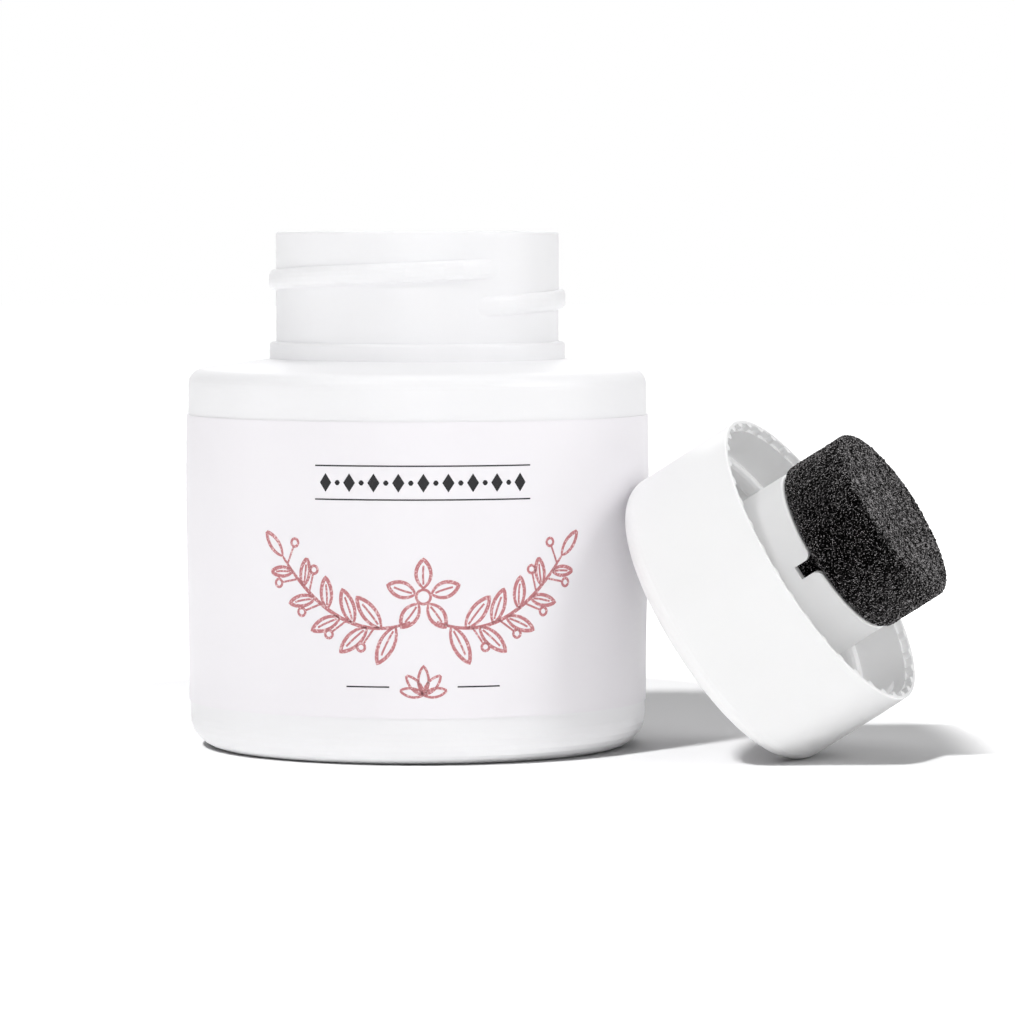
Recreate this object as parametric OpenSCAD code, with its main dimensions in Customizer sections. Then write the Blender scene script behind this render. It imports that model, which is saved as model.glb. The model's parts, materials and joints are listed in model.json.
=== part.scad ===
// Squat round jar for nail polish remover, with its screw cap taken off and leaning
// against it. A slotted cup inside the cap grips the foam sponge that wipes the nail.
// The origin is the centre of the jar's base, +Z is up and the jar's front faces -Y.

/* [Jar body] */
// Height from the base to the foot of the neck
body_h = 41.9; // [30:0.1:60]
// Widest radius of the barrel
barrel_r = 24.9; // [22:0.1:32]
// How much slimmer the barrel is just above its foot
foot_inset = 0.3; // [0:0.05:1]
// How much slimmer the barrel is just below its shoulder
shoulder_inset = 0.15; // [0:0.05:1]
// Height at which the barrel is widest
bulge_z = 29; // [20:0.5:32]
// Radius of the corner between the barrel and the base
foot_corner_r = 3.5; // [2:0.1:6]
// Radius of the corner between the barrel and the shoulder
shoulder_corner_r = 1.8; // [1.5:0.1:4]
// Slope of the shoulder in degrees
shoulder_slope = 8; // [2:0.5:15]
// Thickness of the jar's wall
jar_wall = 1.2; // [0.8:0.05:1.4]
// Thickness of the jar's floor
floor_t = 1.3; // [0.8:0.05:2.5]
// Rise of the hollow under the base
push_up = 0.8; // [0.3:0.05:2]
// Width of the flat ring that the jar stands on
stand_ring_w = 2.4; // [1:0.1:5]

/* [Neck] */
// Height of the neck above the shoulder
neck_h = 13.7; // [11:0.1:18]
// Outer radius of the neck's wall
neck_r = 15.27; // [13:0.01:18]
// Thickness of the neck's wall
neck_wall = 1.15; // [0.8:0.05:1.5]
// How far the bead under the thread stands out
bead_out = 0.7; // [0.3:0.05:0.9]
// Height of the bead
bead_h = 1.85; // [1:0.05:2.5]
// Rounding of the rim's edges
rim_round = 0.4; // [0.1:0.05:0.5]

/* [Neck thread] */
// Rise of the thread in one turn
thread_pitch = 3.9; // [3:0.1:4.5]
// How far the neck's thread stands out
thread_out = 0.76; // [0.4:0.02:1]
// Width of the thread where it leaves the wall
thread_w = 2.2; // [1.4:0.1:2.6]
// Number of turns of the neck's thread
thread_turns = 1.06; // [0.8:0.02:1.3]
// Height of the thread's lower end above the shoulder
thread_low = 5.7; // [4.5:0.1:6.5]
// Angle of the thread's lower end from the right side of the jar
thread_start = -71.5; // [-180:0.5:180]
// Angle over which each end of a thread fades into the wall
thread_fade = 24; // [10:1:60]

/* [Label] */
// Height of the label's lower edge above the base
label_low = 5.1; // [4:0.1:12]
// Height of the label
label_h = 30.8; // [15:0.1:32]
// Thickness of the label
label_t = 0.12; // [0.08:0.01:0.3]
// Thickness of the glue line behind the label
glue_t = 0.02; // [0.01:0.01:0.05]
// Width of the gap between the label's ends, at the back
label_seam = 1.2; // [0.5:0.1:5]

/* [Cap] */
// Height of the cap
cap_h = 14.3; // [12.8:0.1:20]
// Thickness of the cap's skirt
cap_wall = 0.9; // [0.8:0.05:1.5]
// Thickness of the cap's closed end
cap_top_t = 1.5; // [1:0.1:2.5]
// Radius of the edge round the closed end
cap_edge_r = 2.5; // [1.5:0.1:3]
// Radius of the corner between the closed end and the skirt, inside
cap_fillet_r = 1.1; // [0.5:0.1:1.5]
// Rounding of the cap's rim
cap_rim_round = 0.15; // [0.05:0.05:0.15]
// Width of the step inside the cap's rim
rim_step_w = 0.45; // [0.2:0.05:0.45]
// Depth of the step inside the cap's rim
rim_step_h = 0.8; // [0.5:0.1:1.5]
// Clearance between the neck's thread and the cap's skirt
cap_clear = 0.22; // [0.15:0.01:0.5]
// Clearance between the cap's thread and the neck's wall
crest_clear = 0.23; // [0.15:0.01:0.4]
// Width of the cap's thread where it leaves the skirt
cap_thread_w = 2; // [1.2:0.1:2.4]
// Number of turns of the cap's thread
cap_thread_turns = 1.1; // [0.8:0.05:1.2]
// Depth of the cap's thread below the rim, at its first end
cap_thread_low = 3.1; // [2.8:0.1:4]
// Number of small teeth in the step
tooth_count = 36; // [24:1:44]
// Angle of the first tooth round the cap
tooth_start = 1.3; // [0:0.1:15]
// Width of a tooth
tooth_w = 1.3; // [0.8:0.05:1.6]
// How far a tooth stands in from the step's wall
tooth_out = 0.42; // [0.2:0.02:0.5]
// Depth of the teeth's tips below the rim
tooth_drop = 0.05; // [0.02:0.01:0.3]

/* [Sealing ring] */
// Thickness of the sealing ring
seal_t = 1; // [0.5:0.1:1.2]
// How far the ring reaches inside the neck's bore
seal_in = 2.2; // [1:0.1:2.5]
// Gap between the ring and the cap, which turns against it
seal_gap = 0.05; // [0.02:0.01:0.2]

/* [Sponge holder] */
// Outer radius of the holder's lip
holder_r = 9.5; // [7:0.1:10]
// How much wider the holder is at its base
holder_draft = 0.25; // [0:0.05:0.5]
// Thickness of the holder's wall
holder_wall = 1.2; // [0.8:0.05:1.8]
// Thickness of the holder's base
holder_base_t = 1.2; // [0.8:0.1:2]
// How far the holder stands past the cap's rim
holder_stand = 1.8; // [0.5:0.1:4]
// Rounding of the lip's edges
lip_round = 0.3; // [0.1:0.05:0.4]
// Number of slots in the lip
slot_count = 2; // [1:1:3]
// Width of a slot
slot_w = 1.45; // [0.8:0.05:2.5]
// Depth of a slot below the lip
slot_depth = 2.1; // [1.8:0.1:5]
// Radius of the flare at a slot's mouth
slot_flare_r = 0.9; // [0.4:0.05:1.2]
// Angle of the first slot round the holder
slot_angle = -84; // [-180:1:180]

/* [Sponge] */
// Radius of the sponge outside its holder
sponge_r = 9.75; // [7:0.05:11]
// How far the sponge stands out of its holder
sponge_out = 7.7; // [4:0.1:12]
// Rounding of the sponge's working edge
sponge_edge_r = 0.8; // [0.3:0.1:2]
// Rounding of the sponge where it swells over the lip
sponge_swell_r = 0.9; // [0.3:0.1:2]
// Gap between the sponge and its holder
sponge_gap = 0.05; // [0.02:0.01:0.2]

/* [Lean] */
// Direction from the jar to the cap, in degrees from the right side
lean_azimuth = -21; // [-90:1:90]
// Angle of the cap's axis above the floor
lean_rise = 32.3; // [20:0.1:50]
// Gap between the cap's edge and the jar
lean_gap = 0.25; // [0.1:0.05:0.5]

/* [Hidden] */
$fn = 96;

// points on an arc are this many degrees apart, at most
arc_step = 12;
// straight stretches in which a long, slightly curved line is drawn
line_steps = 10;
// free space between the end of a corner's arc and the barrel's line
corner_ease = 1;
// overlap of a cutting or joining solid past the face that it meets
bite = 0.5;
// depth to which a thread's root is sunk in its wall
root_sink = 0.4;
// share of a thread's depth, root included, that is left at its ends
root_end = 0.22;
// degrees between the sections of a thread
thread_step = 7.5;

jar_h = body_h + neck_h;
bore_r = neck_r - neck_wall;
foot_r = barrel_r - foot_inset;
barrel_top_r = barrel_r - shoulder_inset;
// the shoulder's corner: radius at which its arc is centred, and the height of that centre
corner_r = barrel_top_r - shoulder_corner_r;
corner_z = shoulder_z(shoulder_corner_r, corner_r);
stand_in_r = foot_r - foot_corner_r - stand_ring_w;

cap_in_r = neck_r + thread_out + cap_clear;
cap_r = cap_in_r + cap_wall;
step_r = cap_in_r + rim_step_w;
cap_roof = cap_top_t - cap_h;
cap_crest_r = neck_r + crest_clear;
cap_thread_end = cap_thread_low + cap_thread_turns * thread_pitch;

holder_in_r = holder_r - holder_wall;
holder_base = cap_roof + holder_base_t;
plug_r = holder_in_r - sponge_gap;
sponge_tip = holder_stand + sponge_out;

// where the leaning cap touches: its round lower edge on the floor, its upper one on the label
edge_ring_r = cap_r - cap_edge_r;
edge_depth = cap_h - cap_edge_r;
touch_r = barrel_r + glue_t + label_t + lean_gap;
cap_out = touch_r + cap_edge_r + edge_ring_r * sin(lean_rise) + edge_depth * cos(lean_rise);
cap_up = edge_depth * sin(lean_rise) + edge_ring_r * cos(lean_rise) + cap_edge_r;

// a smooth rise from 0 to 1 while t goes from 0 to 1
function ease(t) = (1 - cos(180 * t)) / 2;

// points of an arc round c from angle a to angle b
function arc(c, r, a, b) =
    let (n = ceil(abs(b - a) / arc_step))
    [for (i = [0:n]) c + r * [cos(a + (b - a) * i / n), sin(a + (b - a) * i / n)]];

// radius of the barrel at height z, before its corners
function barrel_at(z) =
    z < bulge_z
    ? foot_r + foot_inset * ease(max(0, (z - foot_corner_r) / (bulge_z - foot_corner_r)))
    : barrel_r - shoulder_inset * ease(min(1, (z - bulge_z) / (corner_z - bulge_z)));

// points up the barrel from height a to height b, standing out by t
function barrel_line(a, b, t) =
    [for (i = [0:line_steps]) let (z = a + (b - a) * i / line_steps) [barrel_at(z) + t, z]];

// outline of the jar from the foot's corner to the foot of the neck, drawn in by t
function barrel_outline(t) =
    concat(arc([foot_r - foot_corner_r, foot_corner_r], foot_corner_r - t, -90, 0),
           barrel_line(foot_corner_r + corner_ease, corner_z - corner_ease, -t),
           arc([corner_r, corner_z], shoulder_corner_r - t, 0, 90 - shoulder_slope));

// outline of the hollow under the base, from the axis out to the standing ring
function under_outline(lift) =
    [for (i = [0:line_steps])
        [stand_in_r * i / line_steps, lift + push_up * (1 - ease(i / line_steps))]];

// height of the shoulder's surface at radius r, on an outline drawn in by t
function shoulder_z(t, r) =
    body_h + (neck_r + bead_out - r) * tan(shoulder_slope) - t / cos(shoulder_slope);

// a ridge that winds up a wall and sinks into it at both ends; an inner one has out below 0
module helix_ridge(wall_r, out, width, turns) {
    sweep = 360 * turns;
    steps = ceil(sweep / thread_step);
    side = sign(out);
    crown = [for (a = [-75:25:75]) [abs(out) * sqrt(cos(a)), width * sin(a) / 2]];
    section = concat([[-root_sink, -width / 2]], crown, [[-root_sink, width / 2]]);
    m = len(section);
    points = [for (i = [0:steps])
        let (a = sweep * i / steps,
             k = root_end + (1 - root_end) * ease(min(1, min(a, sweep - a) / thread_fade)))
        for (p = section)
            let (r = wall_r + side * ((p[0] + root_sink) * k - root_sink))
            [r * cos(a), r * sin(a), p[1] + thread_pitch * a / 360]];
    skin = [for (i = [0:steps - 1]) for (j = [0:m - 1])
        let (a = i * m + j, b = i * m + (j + 1) % m)
        for (f = [[a, b, b + m], [a, b + m, a + m]]) f];
    last = steps * m;
    ends = [for (j = [1:m - 2]) for (f = [[0, j + 1, j], [last, last + j, last + j + 1]]) f];
    faces = concat(skin, ends);
    polyhedron(points, side > 0 ? faces : [for (f = faces) [f[2], f[1], f[0]]]);
}

// puts what is drawn about the cap's axis, rim at z = 0 and open end up, where the cap leans
module cap_place() {
    rotate([0, 0, lean_azimuth])
        translate([cap_out, 0, cap_up])
            rotate([0, 90 - lean_rise, 0])
                children();
}

module jar_body() {
    color("white") {
        difference() {
            rotate_extrude()
                polygon(concat(
                    under_outline(0),
                    barrel_outline(0),
                    [[neck_r + bead_out, body_h]],
                    arc([neck_r + bead_out - rim_round, body_h + bead_h - rim_round], rim_round, 0, 90),
                    [[neck_r, body_h + bead_h]],
                    arc([neck_r - rim_round, jar_h - rim_round], rim_round, 0, 90),
                    [[0, jar_h]]));
            rotate_extrude()
                polygon(concat(
                    under_outline(floor_t),
                    barrel_outline(jar_wall),
                    [[bore_r, shoulder_z(jar_wall, bore_r)]],
                    [[bore_r, jar_h - rim_round]],
                    [[bore_r + rim_round, jar_h], [bore_r + rim_round, jar_h + bite], [0, jar_h + bite]]));
        }
        translate([0, 0, body_h + thread_low])
            rotate([0, 0, thread_start])
                helix_ridge(neck_r, thread_out, thread_w, thread_turns);
    }
}

module wrap_label() {
    top = label_low + label_h;
    seam = label_seam / barrel_r * 180 / PI;
    color("snow")
        rotate([0, 0, 90 + seam / 2])
            rotate_extrude(angle = 360 - seam)
                polygon(concat(
                    barrel_line(label_low, top, glue_t),
                    barrel_line(top, label_low, glue_t + label_t)));
}

// a rounded tooth that stands in the step inside the cap's rim
module rim_tooth() {
    r = (pow(tooth_w / 2, 2) + pow(tooth_out, 2)) / (2 * tooth_out);
    foot = rim_step_h + bite;
    depth = tooth_out + (cap_r - step_r) / 2;
    translate([step_r - tooth_out + r, 0, -foot])
        intersection() {
            cylinder(r = r, h = foot - tooth_drop);
            translate([-r, -r, 0])
                cube([depth, 2 * r, foot]);
        }
}

module cap_shell() {
    color("white")
        cap_place() {
            rotate_extrude()
                polygon(concat(
                    [[0, -cap_h]],
                    arc([edge_ring_r, -edge_depth], cap_edge_r, -90, 0),
                    arc([cap_r - cap_rim_round, -cap_rim_round], cap_rim_round, 0, 90),
                    arc([step_r + cap_rim_round, -cap_rim_round], cap_rim_round, 90, 180),
                    [[step_r, -rim_step_h], [cap_in_r, -rim_step_h]],
                    arc([cap_in_r - cap_fillet_r, cap_roof + cap_fillet_r], cap_fillet_r, 0, -90),
                    [[0, cap_roof]]));
            translate([0, 0, -cap_thread_end])
                helix_ridge(cap_in_r, cap_crest_r - cap_in_r, cap_thread_w, cap_thread_turns);
            for (i = [0:tooth_count - 1])
                rotate([0, 0, tooth_start + i * 360 / tooth_count])
                    rim_tooth();
        }
}

module seal_ring() {
    low = cap_roof + seal_gap;
    color("whitesmoke")
        cap_place()
            translate([0, 0, low])
                difference() {
                    cylinder(r = cap_in_r - cap_fillet_r - seal_gap, h = seal_t);
                    translate([0, 0, -bite])
                        cylinder(r = bore_r - seal_in, h = seal_t + 2 * bite);
                }
}

module sponge_holder() {
    color("white")
        cap_place()
            difference() {
                rotate_extrude()
                    polygon(concat(
                        [[0, cap_roof], [holder_r + holder_draft, cap_roof]],
                        arc([holder_r - lip_round, holder_stand - lip_round], lip_round, 0, 90),
                        arc([holder_in_r + lip_round, holder_stand - lip_round], lip_round, 90, 180),
                        [[holder_in_r, holder_base], [0, holder_base]]));
                for (i = [0:slot_count - 1])
                    rotate([0, 0, slot_angle + i * 360 / slot_count])
                        translate([holder_in_r - bite, 0, holder_stand])
                            rotate([90, 0, 90])
                                linear_extrude(holder_wall + holder_draft + 2 * bite)
                                    slot_outline();
            }
}

// outline of a slot in the lip: straight sides that flare out at the mouth
module slot_outline() {
    half = slot_w / 2;
    f = slot_flare_r;
    polygon(concat(
        [[-half, -slot_depth], [half, -slot_depth]],
        arc([half + f, -f], f, 180, 90),
        [[half + f, bite], [-half - f, bite]],
        arc([-half - f, -f], f, 90, 0)));
}

module sponge() {
    swell = holder_stand + sponge_gap;
    color("dimgray")
        cap_place()
            rotate_extrude()
                polygon(concat(
                    [[0, holder_base + sponge_gap], [plug_r, holder_base + sponge_gap], [plug_r, swell]],
                    arc([sponge_r - sponge_swell_r, swell + sponge_swell_r], sponge_swell_r, -90, 0),
                    arc([sponge_r - sponge_edge_r, sponge_tip - sponge_edge_r], sponge_edge_r, 0, 90),
                    [[0, sponge_tip]]));
}

jar_body();
wrap_label();
cap_shell();
seal_ring();
sponge_holder();
sponge();
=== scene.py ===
# Squat screw-neck jar with its sponge cap off and leaning on it: the finishes, the foam,
# the printed film and the studio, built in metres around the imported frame.
import json
import math

import bmesh
import bpy
import numpy as np
from mathutils import Matrix, Vector, noise
from mathutils.bvhtree import BVHTree


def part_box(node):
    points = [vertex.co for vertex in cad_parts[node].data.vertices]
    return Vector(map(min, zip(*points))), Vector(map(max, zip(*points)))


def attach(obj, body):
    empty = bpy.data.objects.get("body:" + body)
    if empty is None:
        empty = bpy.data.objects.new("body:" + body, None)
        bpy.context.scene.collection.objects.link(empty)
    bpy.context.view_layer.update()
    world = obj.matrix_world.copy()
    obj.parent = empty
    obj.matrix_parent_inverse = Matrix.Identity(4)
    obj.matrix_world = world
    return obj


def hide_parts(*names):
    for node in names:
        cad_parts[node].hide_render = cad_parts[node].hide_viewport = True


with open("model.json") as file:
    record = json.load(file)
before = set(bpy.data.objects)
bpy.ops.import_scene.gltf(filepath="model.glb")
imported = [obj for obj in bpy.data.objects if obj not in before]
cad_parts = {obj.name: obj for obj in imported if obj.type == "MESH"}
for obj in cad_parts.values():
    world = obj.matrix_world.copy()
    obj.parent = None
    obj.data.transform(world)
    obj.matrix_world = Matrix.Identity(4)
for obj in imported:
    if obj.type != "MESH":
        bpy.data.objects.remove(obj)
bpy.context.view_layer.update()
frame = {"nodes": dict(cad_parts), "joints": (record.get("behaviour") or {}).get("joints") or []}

mm = 0.001
scene = bpy.context.scene
nodes = frame["nodes"]

# The camera stands where the photograph was taken from.
view = {
    "place": (0.0, -0.560, 0.0564),
    "pitchDown": 3.187,   # degrees below level
    "yawRight": 0.996,    # degrees right of the jar's axis
    "lens": 182.04,
    "sensor": 36.0,
}


def makeCamera():
    data = bpy.data.cameras.new("photoView")
    data.lens = view["lens"]
    data.sensor_width = view["sensor"]
    data.clip_start = 0.01
    data.clip_end = 20.0
    camera = bpy.data.objects.new("photoView", data)
    camera.location = view["place"]
    camera.rotation_euler = (math.radians(90 - view["pitchDown"]), 0, math.radians(-view["yawRight"]))
    scene.collection.objects.link(camera)
    scene.camera = camera


makeCamera()
print("camera placed")


# Small helpers for node trees.

def put(tree, kind, values=None, **settings):
    node = tree.nodes.new(kind)
    for name, value in settings.items():
        setattr(node, name, value)
    for name, value in (values or {}).items():
        node.inputs[name].default_value = value
    return node


def join(tree, *pairs):
    for source, target in pairs:
        tree.links.new(source, target)


def mathNode(tree, operation, a, b=None):
    node = put(tree, "ShaderNodeMath", operation=operation)
    for socket, value in zip(node.inputs, (a, b)):
        if isinstance(value, (int, float)):
            socket.default_value = value
        elif value is not None:
            tree.links.new(value, socket)
    return node.outputs["Value"]


def newGroup(name, inputs, outputs):
    tree = bpy.data.node_groups.new(name, "ShaderNodeTree")
    for label, kind, value in inputs:
        socket = tree.interface.new_socket(name=label, in_out="INPUT", socket_type=kind)
        socket.default_value = value
    for label, kind in outputs:
        tree.interface.new_socket(name=label, in_out="OUTPUT", socket_type=kind)
    return tree, tree.nodes.new("NodeGroupInput"), tree.nodes.new("NodeGroupOutput")


surfaceOutputs = (
    ("Color", "NodeSocketColor"),
    ("Roughness", "NodeSocketFloat"),
    ("Normal", "NodeSocketVector"))
noiseDetail = {"plain": 2.0, "fine": 3.0}


def scaledNoise(tree, place, size, detail="plain"):
    # noise whose grains are about size metres across
    texture = put(tree, "ShaderNodeTexNoise", {"Detail": noiseDetail[detail]})
    join(tree, (place, texture.inputs["Vector"]),
         (mathNode(tree, "DIVIDE", 1.0, size), texture.inputs["Scale"]))
    return texture.outputs["Fac"]


def bump(tree, height, depth, normal=None):
    node = put(tree, "ShaderNodeBump", {"Strength": 1.0})
    join(tree, (height, node.inputs["Height"]), (depth, node.inputs["Distance"]))
    if normal is not None:
        join(tree, (normal, node.inputs["Normal"]))
    return node.outputs["Normal"]


def mixColour(tree, share, first, second):
    node = put(tree, "ShaderNodeMix", data_type="RGBA")
    join(tree, (share, node.inputs["Factor"]), (first, node.inputs[6]), (second, node.inputs[7]))
    return node.outputs[2]


def mouldedSkin():
    # the skin of a moulding: a slow ripple, a fine grain and a slightly uneven tone
    tree, given, out = newGroup("mouldedSkin", (
        ("Base", "NodeSocketColor", (0.9, 0.9, 0.9, 1)),
        ("Tint", "NodeSocketColor", (0.88, 0.88, 0.9, 1)),
        ("Ripple Size", "NodeSocketFloat", 9 * mm),
        ("Ripple Depth", "NodeSocketFloat", 0.03 * mm),
        ("Grain Size", "NodeSocketFloat", 0.25 * mm),
        ("Grain Depth", "NodeSocketFloat", 0.003 * mm),
        ("Polish", "NodeSocketFloat", 0.4),
        ("Polish Spread", "NodeSocketFloat", 0.1)), surfaceOutputs)
    place = put(tree, "ShaderNodeTexCoord").outputs["Object"]
    ripple = scaledNoise(tree, place, given.outputs["Ripple Size"])
    grain = scaledNoise(tree, place, given.outputs["Grain Size"], "fine")
    tone = mixColour(tree, ripple, given.outputs["Base"], given.outputs["Tint"])
    swing = mathNode(tree, "SUBTRACT", ripple, 0.5)
    spread = mathNode(tree, "MULTIPLY", swing, given.outputs["Polish Spread"])
    rough = mathNode(tree, "ADD", given.outputs["Polish"], spread)
    normal = bump(tree, ripple, given.outputs["Ripple Depth"])
    normal = bump(tree, grain, given.outputs["Grain Depth"], normal)
    join(tree, (tone, out.inputs["Color"]), (rough, out.inputs["Roughness"]), (normal, out.inputs["Normal"]))
    return tree


def foamGlintsAndPitShade():
    # open cells seen from outside: the tips of the struts carry painted glints of uneven brightness, and the
    # gaps between them are painted shade, blacker than the dark foam itself
    tree, given, out = newGroup("foamGlintsAndPitShade", (
        ("Strut Glint", "NodeSocketColor", (0.3, 0.3, 0.3, 1)),
        ("Gap", "NodeSocketColor", (0.002, 0.002, 0.002, 1)),
        ("Grain Size", "NodeSocketFloat", 0.2 * mm),
        ("Grain Share", "NodeSocketFloat", 0.5),
        ("Dim Share", "NodeSocketFloat", 2.0),
        ("Tip Core", "NodeSocketFloat", 0.4),
        ("Grain Depth", "NodeSocketFloat", 0.08 * mm),
        ("Patch Size", "NodeSocketFloat", 1.2 * mm),
        ("Patch Floor", "NodeSocketFloat", 0.5),
        ("Gap Roughness", "NodeSocketFloat", 0.95),
        ("Strut Polish", "NodeSocketFloat", 0.2)), surfaceOutputs)
    place = put(tree, "ShaderNodeTexCoord").outputs["Object"]
    grains = put(tree, "ShaderNodeTexVoronoi", feature="F1")
    join(tree, (place, grains.inputs["Vector"]),
         (mathNode(tree, "DIVIDE", 1.0, given.outputs["Grain Size"]), grains.inputs["Scale"]))
    tip = put(tree, "ShaderNodeMapRange", interpolation_type="SMOOTHSTEP")
    tip.inputs["To Min"].default_value = 1.0
    tip.inputs["To Max"].default_value = 0.0
    core = mathNode(tree, "MULTIPLY", given.outputs["Grain Share"], given.outputs["Tip Core"])
    join(tree, (grains.outputs["Distance"], tip.inputs["Value"]), (core, tip.inputs["From Min"]),
         (given.outputs["Grain Share"], tip.inputs["From Max"]))
    lot = put(tree, "ShaderNodeSeparateColor")
    join(tree, (grains.outputs["Color"], lot.inputs["Color"]))
    bright = mathNode(tree, "POWER", lot.outputs["Red"], given.outputs["Dim Share"])
    patch = scaledNoise(tree, place, given.outputs["Patch Size"], "fine")
    bright = mathNode(tree, "MULTIPLY", bright, mathNode(tree, "ADD", patch, given.outputs["Patch Floor"]))
    # the tips' painted glints; everywhere else shows the gaps' painted shade
    tipGlint = mathNode(tree, "MULTIPLY", tip.outputs["Result"], bright)
    tone = mixColour(tree, tipGlint, given.outputs["Gap"], given.outputs["Strut Glint"])
    polish = mathNode(tree, "MULTIPLY", tipGlint, given.outputs["Strut Polish"])
    rough = mathNode(tree, "SUBTRACT", given.outputs["Gap Roughness"], polish)
    normal = bump(tree, tip.outputs["Result"], given.outputs["Grain Depth"])
    join(tree, (tone, out.inputs["Color"]), (rough, out.inputs["Roughness"]), (normal, out.inputs["Normal"]))
    return tree


def printedInk():
    # a thin coat of ink whose cover thins in specks
    tree, given, out = newGroup("printedInk", (
        ("Ink", "NodeSocketColor", (0.5, 0.2, 0.2, 1)),
        ("Thin", "NodeSocketColor", (0.8, 0.6, 0.6, 1)),
        ("Speck Size", "NodeSocketFloat", 0.18 * mm),
        ("Speck Depth", "NodeSocketFloat", 0.004 * mm),
        ("Cover", "NodeSocketFloat", 0.6),
        ("Cover Fade", "NodeSocketFloat", 0.15),
        ("Polish", "NodeSocketFloat", 0.5),
        ("Polish Spread", "NodeSocketFloat", 0.15)), surfaceOutputs)
    place = put(tree, "ShaderNodeTexCoord").outputs["Object"]
    speck = scaledNoise(tree, place, given.outputs["Speck Size"])
    bare = put(tree, "ShaderNodeMapRange", interpolation_type="SMOOTHSTEP")
    faded = mathNode(tree, "ADD", given.outputs["Cover"], given.outputs["Cover Fade"])
    join(tree, (speck, bare.inputs["Value"]), (given.outputs["Cover"], bare.inputs["From Min"]),
         (faded, bare.inputs["From Max"]))
    tone = mixColour(tree, bare.outputs["Result"], given.outputs["Ink"], given.outputs["Thin"])
    spread = mathNode(tree, "MULTIPLY", speck, given.outputs["Polish Spread"])
    rough = mathNode(tree, "ADD", given.outputs["Polish"], spread)
    normal = bump(tree, speck, given.outputs["Speck Depth"])
    join(tree, (tone, out.inputs["Color"]), (rough, out.inputs["Roughness"]), (normal, out.inputs["Normal"]))
    return tree


def newMaterial(name, group, values, constants):
    material = bpy.data.materials.new(name)
    material.use_nodes = True
    tree = material.node_tree
    tree.nodes.clear()
    out = put(tree, "ShaderNodeOutputMaterial")
    shader = put(tree, "ShaderNodeBsdfPrincipled", constants)
    effect = put(tree, "ShaderNodeGroup", node_tree=group)
    for socket, value in values.items():
        effect.inputs[socket].default_value = value
    join(tree, (effect.outputs["Color"], shader.inputs["Base Color"]),
         (effect.outputs["Roughness"], shader.inputs["Roughness"]),
         (effect.outputs["Normal"], shader.inputs["Normal"]),
         (shader.outputs["BSDF"], out.inputs["Surface"]))
    return material


skin = mouldedSkin()
cells = foamGlintsAndPitShade()
ink = printedInk()

plastics = {
    "jarPlastic": {
        "Base": (0.915, 0.913, 0.925, 1), "Tint": (0.895, 0.893, 0.91, 1),
        "Ripple Size": 11 * mm, "Ripple Depth": 0.05 * mm,
        "Grain Size": 0.22 * mm, "Grain Depth": 0.004 * mm, "Polish": 0.42, "Polish Spread": 0.12},
    # the cap's white is set lighter than the jar's to paint extra light into the shade inside the cap
    "capPlastic": {
        "Base": (0.95, 0.95, 0.952, 1), "Tint": (0.935, 0.935, 0.94, 1),
        "Ripple Size": 14 * mm, "Ripple Depth": 0.02 * mm,
        "Grain Size": 0.3 * mm, "Grain Depth": 0.002 * mm, "Polish": 0.34, "Polish Spread": 0.1},
    # the holder's white is also set lighter, as painted light for the shade inside the cap
    "holderPlastic": {
        "Base": (0.955, 0.955, 0.957, 1), "Tint": (0.945, 0.945, 0.95, 1),
        "Ripple Size": 8 * mm, "Ripple Depth": 0.015 * mm,
        "Grain Size": 0.3 * mm, "Grain Depth": 0.002 * mm, "Polish": 0.38, "Polish Spread": 0.1},
    "sealFoam": {
        "Base": (0.87, 0.87, 0.86, 1), "Tint": (0.83, 0.83, 0.82, 1),
        "Ripple Size": 2 * mm, "Ripple Depth": 0.03 * mm,
        "Grain Size": 0.12 * mm, "Grain Depth": 0.02 * mm, "Polish": 0.75, "Polish Spread": 0.1},
    "labelFilm": {
        "Base": (0.905, 0.885, 0.915, 1), "Tint": (0.89, 0.87, 0.9, 1),
        "Ripple Size": 16 * mm, "Ripple Depth": 0.03 * mm,
        "Grain Size": 0.15 * mm, "Grain Depth": 0.0015 * mm, "Polish": 0.46, "Polish Spread": 0.06},
}
seeInto = {"Subsurface Weight": 0.2, "Subsurface Radius": (1.0, 1.0, 1.0), "Subsurface Scale": 1.4 * mm}
inks = {
    "roseInk": {
        "Ink": (0.53, 0.2, 0.215, 1), "Thin": (0.8, 0.55, 0.56, 1),
        "Speck Size": 0.2 * mm, "Cover": 0.52},
    "blackInk": {
        "Ink": (0.010, 0.009, 0.011, 1), "Thin": (0.03, 0.028, 0.03, 1),
        "Speck Size": 0.25 * mm, "Cover": 0.6},
}
inkShell = {"Specular IOR Level": 0.3}
# the struts' colour is a painted glint, far lighter than the dark foam, and the gaps' colour is painted
# shade in its pits
foam = {
    "Strut Glint": (0.62, 0.598, 0.604, 1), "Gap": (0.001, 0.001, 0.001, 1),
    "Grain Size": 0.14 * mm, "Grain Depth": 0.05 * mm, "Patch Size": 1.2 * mm,
}
foamShell = {"Specular IOR Level": 0.0}
# how the painted glints on the foam grow and brighten towards a grazing view: a painted sheen
foamSlantSheen = {
    "facing": (0.15, 0.7),   # where the change starts and is full
    "shares": {"Grain Share": (0.46, 0.9), "Dim Share": (3.0, 1.25)},   # straight on, and at a slant
}

materials = {}
for name, values in plastics.items():
    translucent = name in ("jarPlastic", "capPlastic", "holderPlastic")
    materials[name] = newMaterial(name, skin, values, seeInto if translucent else {})
for name, values in inks.items():
    materials[name] = newMaterial(name, ink, values, inkShell)
materials["spongeFoam"] = newMaterial("spongeFoam", cells, foam, foamShell)


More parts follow.
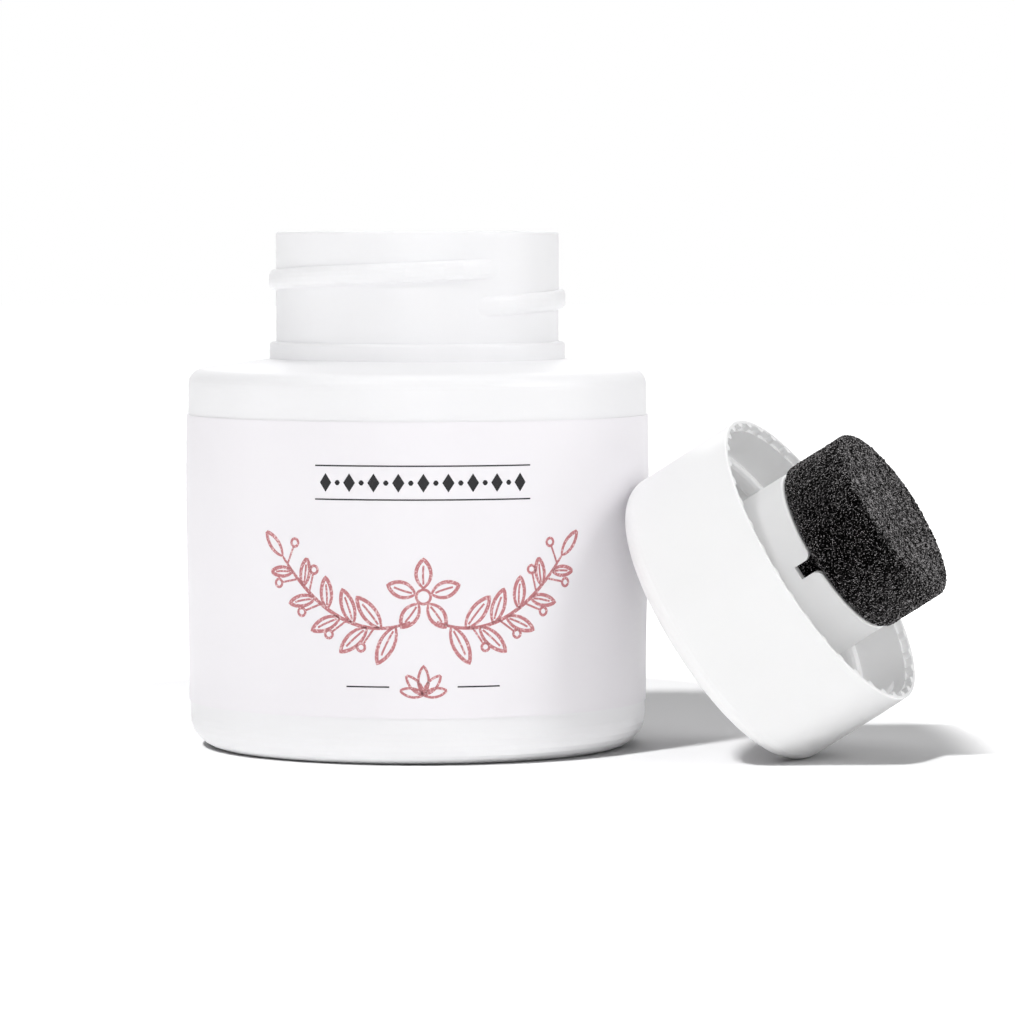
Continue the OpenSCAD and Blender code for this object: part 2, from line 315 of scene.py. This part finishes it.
def sheenAtSlant(material):
    # at a slant the tips of the struts close up and hide the gaps, and their painted glints grow and
    # brighten into a painted sheen
    tree = material.node_tree
    effect = next(node for node in tree.nodes if node.bl_idname == "ShaderNodeGroup")
    slant = put(tree, "ShaderNodeLayerWeight", {"Blend": 0.5})
    start, full = foamSlantSheen["facing"]
    for socket, (straight, slanted) in foamSlantSheen["shares"].items():
        share = put(tree, "ShaderNodeMapRange", {
            "From Min": start, "From Max": full, "To Min": straight, "To Max": slanted})
        join(tree, (slant.outputs["Facing"], share.inputs["Value"]),
             (share.outputs["Result"], effect.inputs[socket]))


sheenAtSlant(materials["spongeFoam"])


def dress(piece, material):
    piece.data.materials.clear()
    piece.data.materials.append(materials[material])


for node, material in (("jar_body", "jarPlastic"), ("wrap_label", "labelFilm"), ("cap_shell", "capPlastic"),
                       ("seal_ring", "sealFoam"), ("sponge_holder", "holderPlastic")):
    nodes[node].material_slots[0].material = materials[material]
print("finishes assigned")


# The foam sponge, drawn about the cap's axis: the cap's rim at height 0, its open end up.
sponge = {
    "sides": 160,            # straight sides of the plain form round its axis
    "voxel": 0.16 * mm,      # spacing of the foam's points
    "edgeRounding": 0.8 * mm,
    "swellRounding": 0.9 * mm,
    "cell": 0.42 * mm,       # size of an open cell
    "cellDepth": 0.05 * mm,
    "fuzz": 0.17 * mm,       # how far single strut ends stand out or in
    "fuzzGrain": 0.17 * mm,
    "pitWidth": 1.6,         # the larger, the narrower are the pits between cells
    "crown": 0.075 * mm,     # slow unevenness of a cut foam block
    "crownSize": 4 * mm,
    "plugMargin": 1 * mm,    # how far below the holder's lip the foam's plain plug starts
    "plugSample": 1 * mm,    # height over which the CAD plug's radius is read
    "swellLeast": 0.1 * mm,  # foam wider than the plug by this is past the holder's lip
}


def capMatrix():
    turn = next(j for j in frame["joints"] if j["name"] == "cap_turn")
    axis = Vector(turn["axis"]).normalized()
    return Matrix.Translation(turn["pos_m"]) @ axis.to_track_quat("Z", "Y").to_matrix().to_4x4()


def arcPoints(centre, radius, start, end, count=8):
    for i in range(count + 1):
        a = math.radians(start + (end - start) * i / count)
        yield centre[0] + radius * math.cos(a), centre[1] + radius * math.sin(a)


def lathe(name, outline, sides):
    # a closed solid of revolution from an outline that starts and ends on the axis
    mesh = bmesh.new()
    first = mesh.verts.new((0, 0, outline[0][1]))
    last = mesh.verts.new((0, 0, outline[-1][1]))
    angles = [2 * math.pi * i / sides for i in range(sides)]
    rings = [[mesh.verts.new((r * math.cos(a), r * math.sin(a), h)) for a in angles]
             for r, h in outline[1:-1]]
    for i in range(sides):
        j = (i + 1) % sides
        mesh.faces.new((first, rings[0][j], rings[0][i]))
        for a, b in zip(rings, rings[1:]):
            mesh.faces.new((a[i], a[j], b[j], b[i]))
        mesh.faces.new((rings[-1][i], rings[-1][j], last))
    data = bpy.data.meshes.new(name)
    mesh.to_mesh(data)
    mesh.free()
    piece = bpy.data.objects.new(name, data)
    scene.collection.objects.link(piece)
    return piece


def settle(piece):
    # applies the piece's modifiers
    bpy.context.view_layer.update()
    shaped = piece.evaluated_get(bpy.context.evaluated_depsgraph_get())
    data = bpy.data.meshes.new_from_object(shaped)
    piece.modifiers.clear()
    piece.data = data


def makeSponge():
    place = capMatrix()
    local = np.array([place.inverted() @ v.co for v in nodes["sponge"].data.vertices])
    radii, heights = np.hypot(local[:, 0], local[:, 1]), local[:, 2]
    outerR, base, tip = radii.max(), heights.min(), heights.max()
    plugR = radii[heights < base + sponge["plugSample"]].max()
    lip = heights[radii > plugR + sponge["swellLeast"]].min()
    edge, swell = sponge["edgeRounding"], sponge["swellRounding"]
    outline = [(0, base), (plugR, base), (plugR, lip)]
    outline += arcPoints((outerR - swell, lip + swell), swell, -90, 0)
    outline += arcPoints((outerR - edge, tip - edge), edge, 0, 90)
    outline += [(0, tip)]
    piece = lathe("foam_sponge", outline, sponge["sides"])
    remesh = piece.modifiers.new("remesh", "REMESH")
    remesh.mode = "VOXEL"
    remesh.voxel_size = sponge["voxel"]
    settle(piece)
    data = piece.data
    count = len(data.vertices)
    co = np.empty(count * 3)
    normals = np.empty(count * 3)
    data.vertices.foreach_get("co", co)
    data.vertex_normals.foreach_get("vector", normals)
    co, normals = co.reshape(-1, 3), normals.reshape(-1, 3)
    moves = np.zeros(count)
    for i, point in enumerate(co):
        if point[2] < lip - sponge["plugMargin"]:
            continue      # the plug inside the holder keeps its plain form
        spot = Vector(point)
        near = noise.voronoi(spot / sponge["cell"])[0]
        pit = min(1.0, (near[1] - near[0]) * sponge["pitWidth"])
        grain = noise.noise(spot / sponge["fuzzGrain"])
        slow = noise.noise(spot / sponge["crownSize"])
        moves[i] = sponge["fuzz"] * grain - sponge["cellDepth"] * pit + sponge["crown"] * slow
    data.vertices.foreach_set("co", (co + normals * moves[:, None]).ravel())
    data.transform(place)
    data.shade_flat()
    dress(piece, "spongeFoam")
    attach(piece, "cap")
    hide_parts("sponge")
    print("foam sponge:", count, "points")


makeSponge()


# The printed film: a rose garland, a black band of lozenges and a small sprig.
# Sizes are millimetres on the film, u to the right of its middle and z up from the base.
ornament = {
    "middle": 0.6,         # u of the design's middle
    "lift": 0.012,         # how far ink stands on the film
    "depth": 0.03,         # thickness of the ink pieces, sunk into the film
    "rayStart": 1.2,       # rays to the film start this many film radii out
    "step": 0.22,          # spacing of points along a stroke
    "roseLine": 0.36,      # width of a rose stroke
    "thinRose": 0.6,       # share of that width in veins and stalks
    "ringRose": 0.8,       # and in rings
    "sprigRose": 0.75,     # and in the sprig
    "penEnd": 0.55,        # share of the width at the ends of a pen stroke
    "penSwell": 0.55,      # share that is added in its middle
    "blackLine": 0.15,     # width of a black rule
}
garland = {
    "stem": ((1.4, 15.2), (6.5, 13.0), (11.5, 16.2), (15.6, 21.8)),   # control points, right half
    "leaves": 9,
    "leafPitch": 0.1,      # spacing of leaves as a share of the stem
    "leafLength": 4.3,     # the first leaf
    "leafShrink": 0.2,     # how much shorter each next leaf is
    "leafBreadth": 0.26,   # share of a leaf's length
    "leafAngle": 52,
    "berryAhead": 0.05,    # how far past its leaf a berry's stalk starts, as a share of the stem
    "berryStalk": 2.0,
    "berryAngle": 60,
    "berryRadius": 0.42,
    "berryOffset": 0.45,   # from the stalk's end to the berry's centre
    "innerBerries": 6,     # leaves before this one have no berry on the stem's upper side
    "tipLeaf": (50, 3.2, 0.8),   # angle, length and breadth
}
flower = {"centre": (0, 17.8), "petals": 5, "start": 0.9, "length": 3.0, "breadth": 1.15, "eye": 0.75}
sprig = {
    "foot": (0, 7.6),
    "leaves": ((90, 3.0), (48, 2.7), (132, 2.7), (10, 2.5), (170, 2.5)),   # angle and length
    "breadth": 0.27,       # share of a leaf's length
    "ruleHeight": 8.4,
    "ruleSpan": (3.6, 8.2),
}
band = {
    "height": 29.6,
    "count": 8,            # shapes on each side of the middle one, dots and lozenges in turn
    "pitch": 1.3,
    "dot": 0.28,           # radius of a dot
    "dotEnd": 0.02,        # keeps its ends from closing
    "lozenge": 0.62,       # half the length of a lozenge
    "lozengeRise": 1.9,    # its height
    "lozengeEnd": 0.03,    # keeps its ends from closing, as a share of its height
    "ruleRise": 1.75,      # from the band's middle up or down to its rules
    "ruleReach": 11.6,
}
leafShape = {
    "side": ((0, 0), (0.3, 1), (0.75, 0.8), (1, 0)),             # shares of length and breadth
    "vein": ((0.12, 0), (0.4, 0.08), (0.6, 0.05), (0.78, 0)),    # share of length, and millimetres
    "sideSteps": 16,
    "veinSteps": 10,
}


def filmSurface():
    data = nodes["wrap_label"].data
    points = [v.co.copy() for v in data.vertices]
    tree = BVHTree.FromPolygons(points, [tuple(p.vertices) for p in data.polygons])
    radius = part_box("wrap_label")[1].x
    return tree, radius


filmTree, filmRadius = filmSurface()


def onFilm(u, z):
    # the point just off the film's outer face at (u, z)
    a = -math.pi / 2 + u * mm / filmRadius
    out = Vector((math.cos(a), math.sin(a), 0))
    hit = filmTree.ray_cast(out * filmRadius * ornament["rayStart"] + Vector((0, 0, z * mm)), -out)[0]
    return hit + out * ornament["lift"] * mm


def resample(points, step):
    spans = [math.dist(a, b) for a, b in zip(points, points[1:])]
    total = sum(spans)
    count = max(4, round(total / step))
    result, i, gone = [], 0, 0.0
    for k in range(count + 1):
        want = total * k / count
        while i < len(spans) - 1 and gone + spans[i] < want:
            gone += spans[i]
            i += 1
        t = min(1.0, (want - gone) / max(spans[i], 1e-9))
        a, b = points[i], points[i + 1]
        result.append((a[0] + (b[0] - a[0]) * t, a[1] + (b[1] - a[1]) * t))
    return result


def bend(p0, p1, p2, p3, count=40):
    # a cubic curve through four control points
    result = []
    for i in range(count + 1):
        t = i / count
        w = ((1 - t) ** 3, 3 * t * (1 - t) ** 2, 3 * t * t * (1 - t), t ** 3)
        result.append(tuple(sum(k * p[axis] for k, p in zip(w, (p0, p1, p2, p3))) for axis in (0, 1)))
    return result


def ring(centre, radius, count=28):
    angles = [2 * math.pi * i / count for i in range(count + 1)]
    return [(centre[0] + radius * math.cos(a), centre[1] + radius * math.sin(a)) for a in angles]


def penWidth(line):
    # a pen that presses harder in the middle of its stroke
    def width(t):
        press = math.sin(math.pi * min(1, max(0, t))) ** 0.5
        return line * (ornament["penEnd"] + ornament["penSwell"] * press)
    return width


def evenWidth(line):
    def width(_):
        return line
    return width


def dotWidth(t):
    return 2 * band["dot"] * math.sqrt(max(band["dotEnd"], 1 - (2 * t - 1) ** 2))


def lozengeWidth(t):
    return band["lozengeRise"] * (1 + band["lozengeEnd"] - abs(2 * t - 1))


def stroke(mesh, path, width, closed=False):
    # a band along path on the film; width(t) is its width at share t of its length
    path = resample(path, ornament["step"])
    n = len(path)
    rows = []
    for i, (u, z) in enumerate(path):
        a = path[(i - 1) % (n - 1)] if closed else path[max(i - 1, 0)]
        b = path[(i + 1) % (n - 1)] if closed else path[min(i + 1, n - 1)]
        du, dz = b[0] - a[0], b[1] - a[1]
        size = math.hypot(du, dz) or 1
        half = width(i / (n - 1)) / 2
        su, sz = -dz / size * half, du / size * half
        middle = ornament["middle"] + u
        rows.append([mesh.verts.new(onFilm(middle + su * k, z + sz * k)) for k in (-1, 0, 1)])
    if closed:
        rows[-1] = rows[0]
    for a, b in zip(rows, rows[1:]):
        for k in (0, 1):
            mesh.faces.new((a[k], b[k], b[k + 1], a[k + 1]))


def mirrored(path):
    return [(-u, z) for u, z in path]


def leaf(base, angle, length, breadth):
    # outline and vein of a pointed leaf
    c, s = math.cos(math.radians(angle)), math.sin(math.radians(angle))

    def turned(points, count):
        return bend(*((base[0] + x * c - y * s, base[1] + x * s + y * c) for x, y in points), count)

    steps = leafShape["sideSteps"]
    side = [(x * length, y * breadth) for x, y in leafShape["side"]]
    back = [(x, -y) for x, y in reversed(side)]
    vein = [(x * length, y) for x, y in leafShape["vein"]]
    return turned(side, steps) + turned(back, steps)[1:], turned(vein, leafShape["veinSteps"])


def along(path, t):
    i = min(len(path) - 2, int(t * (len(path) - 1)))
    a, b = path[i], path[i + 1]
    return a, math.degrees(math.atan2(b[1] - a[1], b[0] - a[0]))


def inkPiece(name, draw, material):
    mesh = bmesh.new()
    draw(mesh)
    bmesh.ops.recalc_face_normals(mesh, faces=mesh.faces)
    outward = 0
    for face in mesh.faces:
        middle = face.calc_center_median()
        outward += face.normal.dot(Vector((middle.x, middle.y, 0)))
    if outward < 0:
        bmesh.ops.reverse_faces(mesh, faces=mesh.faces)
    data = bpy.data.meshes.new(name)
    mesh.to_mesh(data)
    mesh.free()
    piece = bpy.data.objects.new(name, data)
    scene.collection.objects.link(piece)
    solid = piece.modifiers.new("depth", "SOLIDIFY")
    solid.thickness = ornament["depth"] * mm
    solid.offset = -1
    settle(piece)
    dress(piece, material)
    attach(piece, "jar")


def drawBranch(mesh, turn):
    # one half of the garland; turn leaves a path as it is or mirrors it
    pen = penWidth(ornament["roseLine"])
    thin = evenWidth(ornament["roseLine"] * ornament["thinRose"])
    ringPen = evenWidth(ornament["roseLine"] * ornament["ringRose"])
    stem = bend(*garland["stem"])
    stroke(mesh, turn(stem), pen)
    for k in range(garland["leaves"]):
        t = garland["leafPitch"] * (k + 1)
        side = 1 if k % 2 else -1
        root, angle = along(stem, t)
        length = garland["leafLength"] - garland["leafShrink"] * k
        angle += side * garland["leafAngle"]
        outline, vein = leaf(root, angle, length, length * garland["leafBreadth"])
        stroke(mesh, turn(outline), pen)
        stroke(mesh, turn(vein), thin)
        if side < 0 and k < garland["innerBerries"]:
            continue      # no berry where it would cross a leaf
        start, angle = along(stem, t + garland["berryAhead"])
        a = math.radians(angle - side * garland["berryAngle"])
        way = (math.cos(a), math.sin(a))
        end = tuple(p + garland["berryStalk"] * w for p, w in zip(start, way))
        berry = tuple(p + garland["berryOffset"] * w for p, w in zip(end, way))
        stroke(mesh, turn([start, end]), thin)
        stroke(mesh, turn(ring(berry, garland["berryRadius"])), ringPen, closed=True)
    stroke(mesh, turn(leaf(stem[-1], *garland["tipLeaf"])[0]), pen)


def drawRose(mesh):
    drawBranch(mesh, list)
    drawBranch(mesh, mirrored)
    # petals where the two branches meet
    pen = penWidth(ornament["roseLine"])
    centre = flower["centre"]
    for k in range(flower["petals"]):
        angle = 90 + 360 / flower["petals"] * k
        a = math.radians(angle)
        root = (centre[0] + flower["start"] * math.cos(a), centre[1] + flower["start"] * math.sin(a))
        outline, vein = leaf(root, angle, flower["length"], flower["breadth"])
        stroke(mesh, outline, pen)
        stroke(mesh, vein, evenWidth(ornament["roseLine"] * ornament["thinRose"]))
    eyePen = evenWidth(ornament["roseLine"] * ornament["ringRose"])
    stroke(mesh, ring(centre, flower["eye"]), eyePen, closed=True)
    # the small sprig near the film's lower edge
    for angle, length in sprig["leaves"]:
        outline = leaf(sprig["foot"], angle, length, length * sprig["breadth"])[0]
        stroke(mesh, outline, evenWidth(ornament["roseLine"] * ornament["sprigRose"]))


def drawBlack(mesh):
    rule = evenWidth(ornament["blackLine"])
    height = band["height"]
    for k in range(-band["count"], band["count"] + 1):
        half, width = (band["dot"], dotWidth) if k % 2 else (band["lozenge"], lozengeWidth)
        middle = k * band["pitch"]
        stroke(mesh, [(middle - half, height), (middle + half, height)], width)
    for z in (height - band["ruleRise"], height + band["ruleRise"]):
        stroke(mesh, [(-band["ruleReach"], z), (band["ruleReach"], z)], rule)
    for side in (-1, 1):
        stroke(mesh, [(side * u, sprig["ruleHeight"]) for u in sprig["ruleSpan"]], rule)


inkPiece("rose_print", drawRose, "roseInk")
inkPiece("black_print", drawBlack, "blackInk")
print("film printed")


# The studio: a white floor that keeps the shadow near the object, with a painted glow further out that fades
# the shadow's far end, a white surround, a small key lamp high on the left and large soft lamps all round.
# The floor lamp shines on the floor alone.
studio = {
    "floorSize": 6.0,
    "floorSeen": (0.56, 0.56, 0.565, 1),     # the floor as the camera sees it
    "floorPlain": (0.515, 0.515, 0.515, 1),  # the floor as all else sees it
    "floorGlow": 1.0,                        # a painted glow the camera sees added to it away from the object, which fades out the far end of the cast shadow
    "glowReach": (0.056, 0.067),             # distances sideways at which the glow starts and is full
    "glowShape": (1.0, 0.62, 1.0),           # it starts farther out in front and behind
    "surround": 0.17,
    "aim": (0.01, -0.005, 0.025),
    "lamps": {
        # place, size across and watts
        "keyLight": ((-0.230, -0.341, 0.458), 0.058, 0.68),
        "floorLight": ((-0.230, -0.341, 0.458), 0.058, 5.4),
        "frontLow": ((0.0, -0.9, 0.12), 0.35, 1.4),
        "leftLow": ((-0.8, -0.1, 0.12), 0.35, 0.75),
        "rightLow": ((0.8, -0.1, 0.12), 0.35, 0.75),
        "rightHigh": ((0.62, -0.30, 0.46), 0.35, 1.75),
        "overhead": ((0.0, 0.0, 0.9), 0.6, 2.7),
        "backHigh": ((0.0, 0.6, 0.5), 0.5, 1.1),
    },
    "round": ("keyLight", "floorLight"),
}


def whiteForViewer(tree, plain, seen):
    # seen where the camera looks, also through gloss or glass, and plain for all other rays
    path = put(tree, "ShaderNodeLightPath")
    through = mathNode(tree, "MAXIMUM", path.outputs["Is Glossy Ray"], path.outputs["Is Transmission Ray"])
    share = mathNode(tree, "MAXIMUM", path.outputs["Is Camera Ray"], through)
    mix = put(tree, "ShaderNodeMixShader")
    join(tree, (share, mix.inputs["Fac"]), (plain, mix.inputs[1]), (seen, mix.inputs[2]))
    return mix.outputs[0]


def makeFloor():
    half = studio["floorSize"] / 2
    data = bpy.data.meshes.new("studio_floor")
    corners = [(-half, -half, 0), (half, -half, 0), (half, half, 0), (-half, half, 0)]
    data.from_pydata(corners, [], [(0, 1, 2, 3)])
    floor = bpy.data.objects.new("studio_floor", data)
    scene.collection.objects.link(floor)
    material = bpy.data.materials.new("studioFloor")
    material.use_nodes = True
    tree = material.node_tree
    tree.nodes.clear()
    out = put(tree, "ShaderNodeOutputMaterial")
    plain = put(tree, "ShaderNodeBsdfDiffuse", {"Color": studio["floorPlain"]})
    seen = put(tree, "ShaderNodeBsdfDiffuse", {"Color": studio["floorSeen"]})
    # a painted glow growing with distance from the object, which whitens the floor and fades out the cast
    # shadow's far end
    squeeze = put(tree, "ShaderNodeVectorMath", operation="MULTIPLY")
    squeeze.inputs[1].default_value = studio["glowShape"]
    away = put(tree, "ShaderNodeVectorMath", operation="LENGTH")
    reach = put(tree, "ShaderNodeMapRange", interpolation_type="SMOOTHSTEP")
    reach.inputs["From Min"].default_value, reach.inputs["From Max"].default_value = studio["glowReach"]
    reach.inputs["To Max"].default_value = studio["floorGlow"]
    glow = put(tree, "ShaderNodeEmission")
    both = put(tree, "ShaderNodeAddShader")
    join(tree, (put(tree, "ShaderNodeTexCoord").outputs["Object"], squeeze.inputs[0]),
         (squeeze.outputs["Vector"], away.inputs[0]),
         (away.outputs["Value"], reach.inputs["Value"]), (reach.outputs["Result"], glow.inputs["Strength"]),
         (seen.outputs[0], both.inputs[0]), (glow.outputs[0], both.inputs[1]),
         (whiteForViewer(tree, plain.outputs[0], both.outputs[0]), out.inputs["Surface"]))
    data.materials.append(material)
    return floor


def makeSurround():
    world = bpy.data.worlds.new("surround")
    scene.world = world
    world.use_nodes = True
    tree = world.node_tree
    tree.nodes.clear()
    out = put(tree, "ShaderNodeOutputWorld")
    fill = put(tree, "ShaderNodeBackground", {"Strength": studio["surround"]})
    white = put(tree, "ShaderNodeBackground", {"Strength": 1.0})
    join(tree, (whiteForViewer(tree, fill.outputs[0], white.outputs[0]), out.inputs["Surface"]))
    for background in (fill, white):
        background.inputs["Color"].default_value = (1, 1, 1, 1)


def makeLamps(floor):
    floorOnly = bpy.data.collections.new("floorOnly")
    floorOnly.objects.link(floor)
    for name, (place, size, watts) in studio["lamps"].items():
        data = bpy.data.lights.new(name, "AREA")
        data.shape = "DISK" if name in studio["round"] else "SQUARE"
        data.size = size
        data.energy = watts
        lamp = bpy.data.objects.new(name, data)
        lamp.location = place
        lamp.rotation_euler = (Vector(studio["aim"]) - Vector(place)).to_track_quat("-Z", "Y").to_euler()
        scene.collection.objects.link(lamp)
        if name == "floorLight":
            lamp.light_linking.receiver_collection = floorOnly


makeSurround()
makeLamps(makeFloor())
scene.view_settings.view_transform = "Standard"
print("studio lit")
